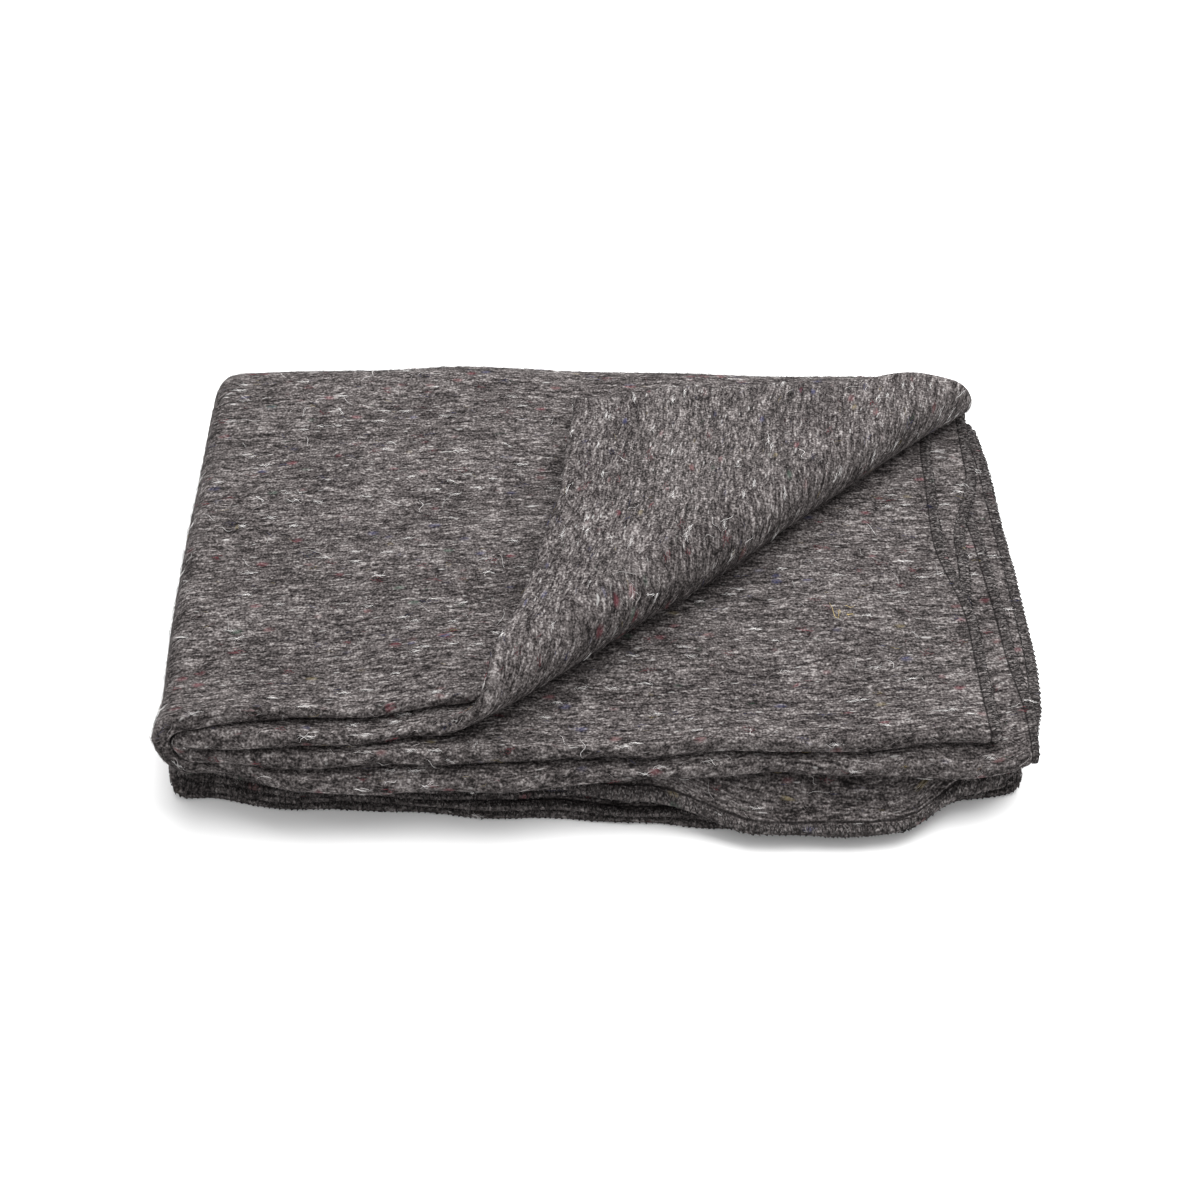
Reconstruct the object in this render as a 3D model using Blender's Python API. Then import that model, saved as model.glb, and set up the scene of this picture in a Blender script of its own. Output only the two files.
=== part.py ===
"""A wool blanket, folded into a pile of sixteen layers with its top right corner turned back.

The cloth is one sheet, 1.90 m by 1.30 m. It starts as a flat slab, cut by a line wherever a fold starts,
bends or ends. Each point is then carried through the folds in the order in which a person makes them:
halved in depth, halved in width, halved in width again, and halved in depth again with the cut edges
underneath. Last, the four layers on top are turned back across a slanting line.
Metres, +Z up, the front towards -Y. Heights in the pile are counted in layers, from the bottom one, 0.
"""

import math
from collections import namedtuple

import bmesh
import bpy
from mathutils import Matrix, Vector

# The cloth
LENGTH = 1.90
DEPTH = 1.30
THICKNESS = 0.0031
PITCH = 0.0040  # from one layer to the next in the pile
LAYERS = 16

# The folds. A fold's axis is so many layers above the pile's lowest layer at that time, and its reach is the
# cloth that its bend takes up, measured on the outer layer.
FRONT_AXIS = 0.5
RIGHT_AXIS = 1.5
LEFT_AXIS = 3.5
BACK_AXIS = 7.5
FRONT_REACH = math.pi * FRONT_AXIS * PITCH
RIGHT_REACH = math.pi * RIGHT_AXIS * PITCH
LEFT_REACH = math.pi * LEFT_AXIS * PITCH
BACK_REACH = math.pi * BACK_AXIS * PITCH
HALF_DEPTH = (DEPTH - FRONT_REACH) / 2
HALF_LENGTH = (LENGTH - RIGHT_REACH) / 2
PILE_WIDTH = (HALF_LENGTH - LEFT_REACH) / 2
PILE_DEPTH = (HALF_DEPTH - BACK_REACH) / 2

# The corner that is turned back: a line across the pile, from the front towards the right end
TURNED_LEVEL = 11.5  # the layers above this level turn
TURN_ANGLE = math.radians(38.7)
TURN_START = 0.133  # where the line meets the front, from the left
TURN_HOLLOW = 1.0  # half the gap inside the bend, in layers
TURN_AXIS = LAYERS - 0.5 + TURN_HOLLOW
TURN_REACH = 0.036
TURN_FULLNESS = 1.15  # how far the bend stands out, against a round one
TURN_SETTLES = 0.165  # how far from the bend the turned corner comes to rest on the pile
TURN_SETTLED = 0.85  # and how much of the gap is then gone
ACROSS = (math.sin(TURN_ANGLE), -math.cos(TURN_ANGLE))

# How each pair of layers lies, from the top pair down. The front columns say how far its front edge
# stands back from the pile's nominal front, at the stations across the pile. The step is how much
# further back the upper layer's edge is, where the pair ends in two cut edges.
STATIONS = (0.0, 0.066, 0.167, 0.257, 0.320, 0.395, 0.438, 0.477)
Pair = namedtuple("Pair", "name level front step")
PAIRS = (
    Pair("bottom", 0.5, (-0.006, -0.0105, -0.018, -0.0245, -0.0295, -0.0300, -0.013, -0.006), 0.002),
    Pair("seventh", 2.5, (0.004, -0.008, -0.012, -0.012, -0.010, -0.006, -0.002, 0.004), 0.002),
    Pair("sixth", 4.5, (0.004, -0.004, -0.006, -0.002, 0.002, 0.003, 0.004, 0.006), 0.003),
    Pair("fifth", 6.5, (-0.004, -0.006, -0.007, -0.0235, -0.0410, -0.0415, -0.017, -0.004), 0.003),
    Pair("fourth", 8.5, (-0.008, -0.0195, -0.0215, -0.0165, -0.0133, -0.0150, -0.018, -0.010), 0.0),
    Pair("third", 10.5, (-0.008, -0.0125, -0.011, -0.008, -0.007, -0.006, -0.002, 0.006), 0.0),
    Pair("second", 12.5, (-0.006, -0.0075, 0.005, 0.0145, 0.0160, 0.009, 0.002, 0.000), 0.0),
    Pair("top", 14.5, (0.000, 0.007, 0.018, 0.020, 0.016, 0.011, 0.002, 0.000), 0.0),
)
BACK_STATIONS = (0.0, 0.14, 0.477)
BACK = (0.0105, 0.0135, -0.0065)  # how far the back stands out, at its own stations

# How far each layer's right end stands out from the pile's nominal right end, at stations from the front
# fold to the cut edge, before the pile is halved in depth. The last station ends up underneath.
END_STATIONS = (0.0, 0.08, 0.15, 0.22, 0.30, 0.42, 0.62)
End = namedtuple("End", "level out")
ENDS = (
    End(0.0, (0.031, 0.0375, 0.037, 0.036, 0.032, 0.0385, 0.030)),
    End(1.0, (0.031, 0.025, 0.0215, 0.013, 0.022, 0.036, 0.029)),
    End(2.0, (0.004, 0.004, 0.0085, 0.025, 0.028, 0.033, 0.026)),
    End(3.0, (0.004, 0.005, -0.0055, -0.003, 0.008, 0.030, 0.024)),
    End(4.0, (-0.034, -0.010, 0.010, 0.034, 0.020, 0.018, 0.018)),
    End(7.0, (-0.034, -0.010, 0.010, 0.034, 0.020, 0.018, 0.018)),
)

LAYER_BODY = 0.42  # a layer keeps its place this far above and below its middle
FRONT_FADE = 0.15  # how far into the pile the front edges' offsets die away
BACK_FADE = 0.16
RIGHT_FADE = 0.25
JOINED = 0.066  # how near an end that joins pairs their offsets run into each other
SUPPORT_FADE = 0.032  # how far past a layer's edge the lower half's layers come down to the one below
BRIDGE_FADE = 0.075  # and the upper half's, which are stiffer together
SWELL = 0.30  # how much thicker the layers stand at their folded front ends
SWELL_DEPTH = 0.035
SWELL_LEFT_OFF = 0.080  # how far left of the turned corner's line the top layers begin to lose it
SWELL_LEFT_RUN = 0.060

# The front left corner: how far the layers are drawn in there, below what height and over what reach. The
# hems of the lowest ones stand out again, with a round corner.
LEFT_IN = 0.007
LEFT_IN_TOP = 0.078
LEFT_IN_RISE = 0.058
LEFT_IN_RUN = 0.11
LEFT_IN_FROM = 0.12
LEFT_IN_FADE = 0.14
HEM_OUT = 0.004
HEM_TOP = 0.028
HEM_RISE = 0.022
HEM_BACK = 0.004
HEM_RUN = 0.035
HEM_BACK_TOP = 0.034
HEM_BACK_RISE = 0.022
HEM_BACK_FROM = 0.05
HEM_BACK_FADE = 0.07
# The front right corner: how far it is rounded off, both ways, and over what reach
RIGHT_ROUND = 0.0045
RIGHT_FROM = 0.458
RIGHT_RUN = 0.030
RIGHT_NEAR = 0.03
RIGHT_NEAR_FADE = 0.04

# The lines that cut the cloth: through each bend, along both ways of the flat cloth, and across the pile
BEND_STEPS = {"front": 4, "right": 5, "left": 5, "back": 8, "turned": 8}
WIDTH_CUTS = (0.033, 0.066, 0.10, 0.14, 0.23, 0.31, 0.38, 0.425)
DEPTH_CUTS = (0.085, 0.150)
PILE_CUTS = (-0.030, -0.020, -0.010, 0.0, 0.010, 0.022, 0.036, 0.056)
LEAST_CUT = 0.0003
FLAT_FACE = 0.8  # how upright the normal of a layer's broad face is, at least

WOOL = (0.115, 0.108, 0.110, 1.0)


def ease(share):
    share = min(max(share, 0.0), 1.0)
    return share * share * (3 - 2 * share)


def between(value, places, sizes):
    """sizes, given at places in rising order, read off at value."""
    if value <= places[0]:
        return sizes[0]
    for i in range(1, len(places)):
        if value <= places[i]:
            share = (value - places[i - 1]) / (places[i] - places[i - 1])
            return sizes[i - 1] + (sizes[i] - sizes[i - 1]) * share
    return sizes[-1]


def smooth_between(value, places, sizes):
    """As between, without corners at the places."""
    if value <= places[0]:
        return sizes[0]
    for i in range(1, len(places)):
        if value <= places[i]:
            share = (value - places[i - 1]) / (places[i] - places[i - 1])
            return sizes[i - 1] + (sizes[i] - sizes[i - 1]) * ease(share)
    return sizes[-1]


def fold(along, level, start, axis_level, reach):
    """Folds what lies past start round an axis: the place measured back from the fold, and its level."""
    past = along - start
    if past <= 0:
        return -past, level
    turn = math.pi * min(past / reach, 1.0)
    radius = axis_level - level
    place = max(past - reach, 0.0) - abs(radius) * PITCH * math.sin(turn)
    return place, axis_level - radius * math.cos(turn)


def stepped(level, layers):
    """Sizes given for layers, as (level, size), read off at a level: steady through each layer's body."""
    places = [place for at, _ in layers for place in (at - LAYER_BODY, at + LAYER_BODY)]
    sizes = [size for _, size in layers for _ in range(2)]
    return between(level, places, sizes)


def front_offset(x, level):
    """How far the front edge at this level stands back from the nominal front."""
    pairs = [(pair, smooth_between(x, STATIONS, pair.front)) for pair in PAIRS]
    layers = []
    for pair, offset in pairs:
        layers.append((pair.level - 0.5, offset))
        layers.append((pair.level + 0.5, offset + pair.step))
    joined = max(1 - max(x, 0.0) / JOINED, 0.0)
    run_in = between(level, [pair.level for pair in PAIRS], [offset for _, offset in pairs])
    return stepped(level, layers) * (1 - joined) + run_in * joined


def back_offset(x, y):
    return between(x, BACK_STATIONS, BACK) * ease(1 + (y - PILE_DEPTH) / BACK_FADE)


def end_offset(depth, level):
    """How far the right end of a layer stands out at one depth."""
    layers = [(end.level, smooth_between(depth, END_STATIONS, end.out)) for end in ENDS]
    return stepped(level, layers)


def layer_share(x, y, layer, level):
    """How much of its pitch a layer takes up below a level: none past its edge, more at a swollen front."""
    past = front_offset(x, layer) - y
    if layer < LAYERS / 2:
        return 1.0 - ease(past / (SUPPORT_FADE if level < (LAYERS - 1) / 2 else BRIDGE_FADE))
    loose = 1.0
    if layer > TURNED_LEVEL:
        loose = 1.0 - ease((x - TURN_START + SWELL_LEFT_OFF) / SWELL_LEFT_RUN)
    return 1.0 + SWELL * loose * ease(1.0 + past / SWELL_DEPTH)


def height(x, y, level):
    """The height of a level of the pile above the floor, with each layer resting on those below it."""
    total = max(level + 0.5 - LAYERS, 0.0)
    for layer in range(LAYERS):
        part = min(max(level + 0.5 - layer, 0.0), 1.0)
        if part > 0:
            total += part * layer_share(x, y, layer, level)
    return total * PITCH


def front_fade(y, level):
    """The share of its front edge's offset that a level keeps at y: evenly less of it where layers turn."""
    if level > TURNED_LEVEL:
        return min(max(1 - y / PILE_DEPTH, 0.0), 1.0)
    return ease((FRONT_FADE - y) / FRONT_FADE)


def piled(place):
    """Where a point of the flat cloth lies in the pile, with every layer of the same height."""
    u, v, level = place.x, place.y, place.z / PITCH
    y, level = fold(v, level, HALF_DEPTH, FRONT_AXIS, FRONT_REACH)
    x, level = fold(u, level, HALF_LENGTH, RIGHT_AXIS, RIGHT_REACH)
    x = HALF_LENGTH - x
    x, level = fold(x, level, PILE_WIDTH, LEFT_AXIS, LEFT_REACH)
    x += end_offset(y, level) * ease((x - PILE_WIDTH + RIGHT_FADE) / RIGHT_FADE)
    past = y - PILE_DEPTH
    if past > 0:
        turn = math.pi * min(past / BACK_REACH, 1.0)
        radius = level + 0.5
        y = PILE_DEPTH + radius * PITCH * math.sin(turn) - max(past - BACK_REACH, 0.0)
        level = radius * math.cos(turn) - 0.5
    level += LAYERS / 2
    y += front_offset(x, level) * front_fade(y, level) + back_offset(x, y)
    return x, y, level * PITCH


def turned(place):
    """A point of the pile, once the corner of the top four layers is turned back over the rest."""
    x, y, level = place.x, place.y, place.z / PITCH
    past = (x - TURN_START) * ACROSS[0] + y * ACROSS[1]
    if level < TURNED_LEVEL or past <= 0:
        return place
    turn = math.pi * min(past / TURN_REACH, 1.0)
    beyond = max(past - TURN_REACH, 0.0)
    radius = TURN_AXIS - level
    moved = radius * PITCH * TURN_FULLNESS * math.sin(turn) - beyond - past
    level = TURN_AXIS - radius * math.cos(turn)
    level -= 2 * TURN_HOLLOW * TURN_SETTLED * beyond / TURN_SETTLES
    return Vector((x + moved * ACROSS[0], y + moved * ACROSS[1], level * PITCH))


def drawn_in(place):
    """A point of the finished pile, once its front corners are rounded off."""
    x, y, z = place
    left = LEFT_IN * ease((LEFT_IN_TOP - z) / LEFT_IN_RISE) - HEM_OUT * ease((HEM_TOP - z) / HEM_RISE)
    left *= ease((LEFT_IN_RUN - x) / LEFT_IN_RUN) * ease((LEFT_IN_FROM - y) / LEFT_IN_FADE)
    back = HEM_BACK * ease((HEM_RUN - x) / HEM_RUN) * ease((HEM_BACK_TOP - z) / HEM_BACK_RISE)
    back *= ease((HEM_BACK_FROM - y) / HEM_BACK_FADE)
    corner = RIGHT_ROUND * ease((x - RIGHT_FROM) / RIGHT_RUN) * ease((RIGHT_NEAR - y) / RIGHT_NEAR_FADE)
    return Vector((x + left - corner, y + back + corner, z))


def bend_lines(start, reach, steps):
    return [start + reach * i / steps for i in range(steps + 1)]


def width_lines():
    """Lines across the cloth's length: through each fold's bend and between the folds."""
    lines = bend_lines(HALF_LENGTH, RIGHT_REACH, BEND_STEPS["right"])
    for start in (PILE_WIDTH, LENGTH - PILE_WIDTH - LEFT_REACH):
        lines += bend_lines(start, LEFT_REACH, BEND_STEPS["left"])
    for cut in WIDTH_CUTS:
        lines += [PILE_WIDTH - cut, PILE_WIDTH + LEFT_REACH + cut]
        lines += [LENGTH - PILE_WIDTH + cut, LENGTH - PILE_WIDTH - LEFT_REACH - cut]
    return lines


def depth_lines():
    """Lines along the cloth's length: through each fold's bend and between the folds."""
    lines = bend_lines(HALF_DEPTH, FRONT_REACH, BEND_STEPS["front"])
    for start in (HALF_DEPTH - PILE_DEPTH - BACK_REACH, DEPTH - HALF_DEPTH + PILE_DEPTH):
        lines += bend_lines(start, BACK_REACH, BEND_STEPS["back"])
    for cut in DEPTH_CUTS:
        lines += [cut, HALF_DEPTH - cut, DEPTH - HALF_DEPTH + cut, DEPTH - cut]
    return lines


def cut_line(bm, place, normal, faces):
    """Cuts the faces by an upright plane."""
    geometry = {element for face in faces for element in (*face.verts, *face.edges, face)}
    bmesh.ops.bisect_plane(
        bm, geom=list(geometry), dist=LEAST_CUT, plane_co=(*place, 0.0), plane_no=(*normal, 0.0)
    )


def flat_cloth():
    """The cloth before it is folded, cut by every line at which a fold bends it."""
    bm = bmesh.new()
    slab = Matrix.Translation((LENGTH / 2, DEPTH / 2, 0)) @ Matrix.Diagonal((LENGTH, DEPTH, THICKNESS, 1))
    bmesh.ops.create_cube(bm, size=1.0, matrix=slab)
    for line in width_lines():
        cut_line(bm, (line, 0.0), (1.0, 0.0), bm.faces)
    for line in depth_lines():
        cut_line(bm, (0.0, line), (0.0, 1.0), bm.faces)
    return bm


def cut_pile(bm):
    """Cuts the layers in line with each other: near their front edges and along the turned bend."""
    for line in PILE_CUTS:
        bm.normal_update()
        faces = [face for face in bm.faces if abs(face.normal.z) > FLAT_FACE]
        cut_line(bm, (0.0, line), (0.0, 1.0), faces)
    for line in bend_lines(0.0, TURN_REACH, BEND_STEPS["turned"]):
        faces = [face for face in bm.faces if face.calc_center_median().z > TURNED_LEVEL * PITCH]
        cut_line(bm, (TURN_START + line / ACROSS[0], 0.0), ACROSS, faces)


def wool():
    material = bpy.data.materials.new("grey_wool")
    material.use_nodes = True
    shader = material.node_tree.nodes["Principled BSDF"]
    shader.inputs["Base Color"].default_value = WOOL
    shader.inputs["Roughness"].default_value = 0.95
    return material


def blanket():
    bm = flat_cloth()
    for vert in bm.verts:
        vert.co = piled(vert.co)
    cut_pile(bm)
    bmesh.ops.triangulate(bm, faces=[face for face in bm.faces if len(face.verts) > 4])
    for vert in bm.verts:
        vert.co = turned(vert.co)
        vert.co.z = height(vert.co.x, vert.co.y, vert.co.z / PITCH)
        vert.co = drawn_in(vert.co)
    lowest = [min(vert.co[i] for vert in bm.verts) for i in range(3)]
    highest = [max(vert.co[i] for vert in bm.verts) for i in range(3)]
    bmesh.ops.translate(bm, verts=bm.verts, vec=(
        -(lowest[0] + highest[0]) / 2, -(lowest[1] + highest[1]) / 2, -lowest[2]
    ))
    mesh = bpy.data.meshes.new("blanket")
    bm.to_mesh(mesh)
    bm.free()
    mesh.materials.append(wool())
    return bpy.data.objects.new("blanket", mesh)


def main():
    for old in list(bpy.data.objects):
        bpy.data.objects.remove(old)
    parts = bpy.data.collections.new("wool_blanket")
    bpy.context.scene.collection.children.link(parts)
    parts.objects.link(blanket())


main()
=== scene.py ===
"""The looks of a grey recycled-wool blanket, folded to a pile of sixteen layers with one corner turned back.

The cloth is one sheet, 1.90 m by 1.30 m, with its four cut edges overlocked. It is a flat grid first. Its
points are then carried through the folds in the order in which a person makes them: halved in depth, halved
in width, halved in width again, and halved in depth again with the cut edges underneath. Last, the top four
layers are turned back across a slanting line. The thread of the edging is laid on the flat cloth and goes
through the same folds.
Metres, +Z up, the front towards -Y. Heights in the pile are counted in layers, from the bottom one, 0.
"""
import math
from collections import namedtuple

import bmesh
import bpy
import numpy as np
from mathutils import Matrix, Quaternion, Vector
from mathutils.bvhtree import BVHTree


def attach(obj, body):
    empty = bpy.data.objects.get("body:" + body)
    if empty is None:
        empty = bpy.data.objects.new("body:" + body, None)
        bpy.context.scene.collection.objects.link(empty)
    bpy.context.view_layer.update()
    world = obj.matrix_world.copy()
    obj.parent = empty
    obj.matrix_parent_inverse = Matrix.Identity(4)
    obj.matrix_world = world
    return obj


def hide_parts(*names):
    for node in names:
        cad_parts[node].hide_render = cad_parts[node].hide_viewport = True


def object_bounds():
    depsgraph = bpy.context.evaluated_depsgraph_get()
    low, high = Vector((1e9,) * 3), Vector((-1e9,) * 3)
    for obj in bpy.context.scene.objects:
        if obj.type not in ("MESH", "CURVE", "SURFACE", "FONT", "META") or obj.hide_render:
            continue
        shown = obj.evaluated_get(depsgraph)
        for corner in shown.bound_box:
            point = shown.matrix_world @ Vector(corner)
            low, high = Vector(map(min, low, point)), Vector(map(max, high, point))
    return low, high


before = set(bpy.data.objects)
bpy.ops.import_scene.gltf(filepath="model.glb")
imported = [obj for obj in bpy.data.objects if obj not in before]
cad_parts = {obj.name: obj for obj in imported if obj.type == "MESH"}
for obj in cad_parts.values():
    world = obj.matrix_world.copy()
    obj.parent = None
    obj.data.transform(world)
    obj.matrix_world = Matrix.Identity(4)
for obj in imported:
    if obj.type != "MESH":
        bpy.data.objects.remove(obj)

cad_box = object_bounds()

# The cloth
LENGTH = 1.90
DEPTH = 1.30
THICKNESS = 0.0031
PITCH = 0.0040  # from one layer to the next in the pile
LAYERS = 16

# The folds. A fold's axis is so many layers from the layer that ends up outside its bend, and its reach is
# the cloth that the bend takes up on that layer.
FRONT_AXIS = 0.5
RIGHT_AXIS = 1.5
LEFT_AXIS = 3.5
BACK_AXIS = 7.5
FRONT_REACH = math.pi * FRONT_AXIS * PITCH
RIGHT_REACH = math.pi * RIGHT_AXIS * PITCH
LEFT_REACH = math.pi * LEFT_AXIS * PITCH
BACK_REACH = math.pi * BACK_AXIS * PITCH
HALF_DEPTH = (DEPTH - FRONT_REACH) / 2
HALF_LENGTH = (LENGTH - RIGHT_REACH) / 2
PILE_WIDTH = (HALF_LENGTH - LEFT_REACH) / 2
PILE_DEPTH = (HALF_DEPTH - BACK_REACH) / 2
PILE_CENTRE = (0.2355, 0.1402)  # the middle of the pile's outline, from its nominal front left corner

# The corner that is turned back: a line across the pile, from the front towards the right end
TURNED_LEVEL = 11.5  # the layers above this level turn
TURN_ANGLE = math.radians(38.7)
TURN_START = 0.133  # where the line meets the front, from the left
TURN_HOLLOW = 1.0  # half the gap inside the bend, in layers
TURN_REACH = 0.036
TURN_FULLNESS = 1.15  # how far the bend stands out, against a round one
TURN_SETTLES = 0.165  # how far from the bend the turned corner comes to rest on the pile
TURN_SETTLED = 0.85  # and how much of the gap is then gone
ACROSS = (math.sin(TURN_ANGLE), -math.cos(TURN_ANGLE))
NOSE_START = 0.17  # how far along the bend it starts to close, and over what length
NOSE_RUN = 0.22
NOSE_CLOSED = 0.80  # how much of the hollow is gone at the nose
NOSE_DRAWN = 0.40  # and of the fullness

# How each pair of layers lies, from the bottom pair up: how far its front edge stands back from the
# nominal front, at the stations across the pile, and how much further back the upper layer's edge is.
STATIONS = (0.0, 0.066, 0.167, 0.257, 0.320, 0.395, 0.438, 0.477)
Pair = namedtuple("Pair", "name front step")
PAIRS = (
    Pair("bottom", (-0.006, -0.0105, -0.018, -0.0245, -0.0295, -0.0300, -0.013, -0.006), 0.002),
    Pair("seventh", (0.004, -0.008, -0.012, -0.012, -0.010, -0.006, -0.002, 0.004), 0.002),
    Pair("sixth", (0.004, -0.004, -0.006, -0.002, 0.002, 0.003, 0.004, 0.006), 0.003),
    Pair("fifth", (-0.004, -0.006, -0.007, -0.0215, -0.0385, -0.0390, -0.016, -0.004), -0.0025),
    Pair("fourth", (-0.008, -0.0195, -0.0215, -0.0165, -0.0133, -0.0150, -0.018, -0.010), 0.0),
    Pair("third", (-0.008, -0.0125, -0.011, -0.008, -0.007, -0.006, -0.002, 0.006), 0.0),
    Pair("second", (-0.006, -0.0075, 0.005, 0.0145, 0.0160, 0.009, 0.002, 0.000), 0.0),
    Pair("top", (0.000, 0.007, 0.018, 0.020, 0.016, 0.011, 0.002, 0.000), 0.0),
)
BACK_STATIONS = (0.0, 0.14, 0.477)
BACK = (0.0105, 0.0135, -0.0065)  # how far the back stands out, at its own stations

# How far each layer's right end stands out from the nominal right end, at stations from the front fold to
# the cut edge, before the pile is halved in depth
END_STATIONS = (0.0, 0.08, 0.15, 0.22, 0.30, 0.42, 0.62)
LOOSE_END = (-0.034, -0.010, 0.010, 0.034, 0.020, 0.018, 0.018)
ENDS = (
    (0.031, 0.0375, 0.037, 0.036, 0.032, 0.0385, 0.030),
    (0.031, 0.025, 0.0215, 0.013, 0.022, 0.036, 0.029),
    (0.004, 0.004, 0.0085, 0.025, 0.028, 0.033, 0.026),
    (0.004, 0.005, -0.0055, -0.003, 0.008, 0.030, 0.024),
    LOOSE_END, LOOSE_END, LOOSE_END, LOOSE_END,
)

LAYER_BODY = 0.49  # a layer keeps its place this far above and below its middle
FRONT_FADE = 0.15  # how far into the pile the front edges' offsets die away
BACK_FADE = 0.16
RIGHT_FADE = 0.25
JOINED = 0.066  # how near an end that joins pairs their offsets run into each other
SUPPORT_FADE = 0.032  # how far past a layer's edge the lower half's layers come down to the one below
BRIDGE_FADE = 0.075  # and the upper half's, which are stiffer together
SWELL = 0.30  # how much thicker the layers stand at their folded front ends
SWELL_DEPTH = 0.035
SWELL_LEFT_OFF = 0.080  # how far left of the turned corner's line the top layers begin to lose it
SWELL_LEFT_RUN = 0.060

# The front left corner: how far the layers are drawn in there, below what height and over what reach
LEFT_IN = 0.008
LEFT_IN_TOP = 0.080
LEFT_IN_RISE = 0.050
LEFT_IN_RUN = 0.12
LEFT_IN_FROM = 0.12
LEFT_IN_FADE = 0.14
# The hems of the lowest layers stand out again there, below HEM_TOP, with a round corner
HEM_OUT = 0.0055
HEM_TOP = 0.028
HEM_RISE = 0.022
HEM_BACK = 0.004
HEM_RUN = 0.035
HEM_BACK_TOP = 0.034
HEM_BACK_RISE = 0.022
HEM_BACK_FROM = 0.05
HEM_BACK_FADE = 0.07
# The outer wrap at the left end is fuller than the rest: by how much, where along the pile it starts and
# stops, how far back it reaches and from what height it is full
WRAP_FULL = 0.004
WRAP_FROM = -0.014
WRAP_RISE = 0.012
WRAP_RUN = 0.06
WRAP_NEAR = 0.05
WRAP_FADE = 0.08
WRAP_LOW = 0.022
WRAP_HIGH = 0.040
# Soft waves, as a sway forwards and a rise: how large they are, how far in the sway reaches, and the height
# above which the rise is free. A wave has its length along the pile, its length the other way and a weight.
WAVE_OUT = 0.0011
WAVE_UP = 0.0007
WAVE_FROM = 0.06
WAVE_FADE = 0.08
WAVE_FOOT = 0.03
Wave = namedtuple("Wave", "along other weight")
SWAYS = (Wave(0.103, 0.036, 1.0), Wave(0.061, -0.029, 0.6))
RISES = (Wave(0.127, 0.31, 1.0), Wave(0.29, -0.094, 0.8))
# The front right corner: how far it is rounded off, both ways, and over what reach
RIGHT_ROUND = 0.006
RIGHT_FROM = 0.458
RIGHT_RUN = 0.030
RIGHT_NEAR = 0.03
RIGHT_NEAR_FADE = 0.04

# The grid of the cloth: how many strips there are in each bend and in each span between bends
STRIPS = {"cut end": 38, "left bend": 8, "top": 62, "right bend": 6,
          "underneath": 8, "near cut edge": 7, "back bend": 12, "depth": 40, "front bend": 6}
NEAR_EDGE = 0.045
TURN_CUTS = 14  # lines cut along the turned corner's bend
# The edging pinches the cloth: its thickness at distances from a cut edge, against its own thickness
PINCH_AT = (0.0, 0.0007, 0.0020, 0.0036, 0.0049, 0.0056, 0.0063, 0.0085)
PINCH = (0.62, 1.00, 1.13, 1.12, 0.92, 0.66, 0.90, 1.00)
LEAST_CUT = 0.0002


def ease(share):
    share = np.clip(share, 0.0, 1.0)
    return share * share * (3 - 2 * share)


def smooth_between(value, places, sizes):
    """sizes, given at places in rising order, read off at each value, without corners at the places."""
    places, sizes = np.array(places), np.array(sizes)
    at = np.clip(np.searchsorted(places, value), 1, len(places) - 1)
    share = (value - places[at - 1]) / (places[at] - places[at - 1])
    return sizes[at - 1] + (sizes[at] - sizes[at - 1]) * ease(share)


def fold(along, level, start, axis_level, reach):
    """Folds what lies past start round an axis: the place measured back from the fold, and its level."""
    past = along - start
    turn = math.pi * np.clip(past / reach, 0.0, 1.0)
    radius = axis_level - level
    place = np.maximum(past - reach, 0.0) - np.abs(radius) * PITCH * np.sin(turn)
    flat = past <= 0
    return np.where(flat, -past, place), np.where(flat, level, axis_level - radius * np.cos(turn))


def at_level(level, rows):
    """Each point's own size from rows, one for each layer: steady in the layer's body, blended between."""
    lower = np.clip(np.floor(level).astype(int), 0, len(rows) - 1)
    upper = np.minimum(lower + 1, len(rows) - 1)
    part = np.clip((level - lower - LAYER_BODY) / (1 - 2 * LAYER_BODY), 0.0, 1.0)
    point = np.arange(len(level))
    return rows[lower, point] * (1 - part) + rows[upper, point] * part


def front_offset(x, level):
    """How far the front edge at this level stands back from the nominal front."""
    pairs = np.array([smooth_between(x, STATIONS, pair.front) for pair in PAIRS])
    steps = np.array([PAIRS[layer // 2].step * (layer % 2) for layer in range(LAYERS)])
    layers = np.repeat(pairs, 2, axis=0) + steps[:, None]
    place = np.clip((level - 0.5) / 2, 0.0, len(PAIRS) - 1.0)
    lower = np.minimum(place.astype(int), len(PAIRS) - 2)
    point = np.arange(len(x))
    run_in = pairs[lower, point] + (pairs[lower + 1, point] - pairs[lower, point]) * (place - lower)
    joined = np.clip(1 - np.maximum(x, 0.0) / JOINED, 0.0, 1.0)
    return at_level(level, layers) * (1 - joined) + run_in * joined


def end_offset(depth, level):
    """How far the right end of a layer stands out at one depth."""
    rows = np.array([smooth_between(depth, END_STATIONS, end) for end in ENDS])
    return at_level(level, rows)


def layer_share(x, y, layer, offset, level):
    """How much of its pitch a layer takes up below a level: none past its edge, more at a swollen front."""
    past = offset - y
    if layer < LAYERS / 2:
        return 1.0 - ease(past / np.where(level < (LAYERS - 1) / 2, SUPPORT_FADE, BRIDGE_FADE))
    loose = 1.0
    if layer > TURNED_LEVEL:
        loose = 1.0 - ease((x - TURN_START + SWELL_LEFT_OFF) / SWELL_LEFT_RUN)
    return 1.0 + SWELL * loose * ease(1.0 + past / SWELL_DEPTH)


def height(x, y, level):
    """The height of a level of the pile above the floor, with each layer resting on those below it."""
    total = np.maximum(level + 0.5 - LAYERS, 0.0)
    for layer in range(LAYERS):
        part = np.clip(level + 0.5 - layer, 0.0, 1.0)
        offset = front_offset(x, np.full(len(x), float(layer)))
        total = total + part * layer_share(x, y, layer, offset, level)
    return total * PITCH


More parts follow.
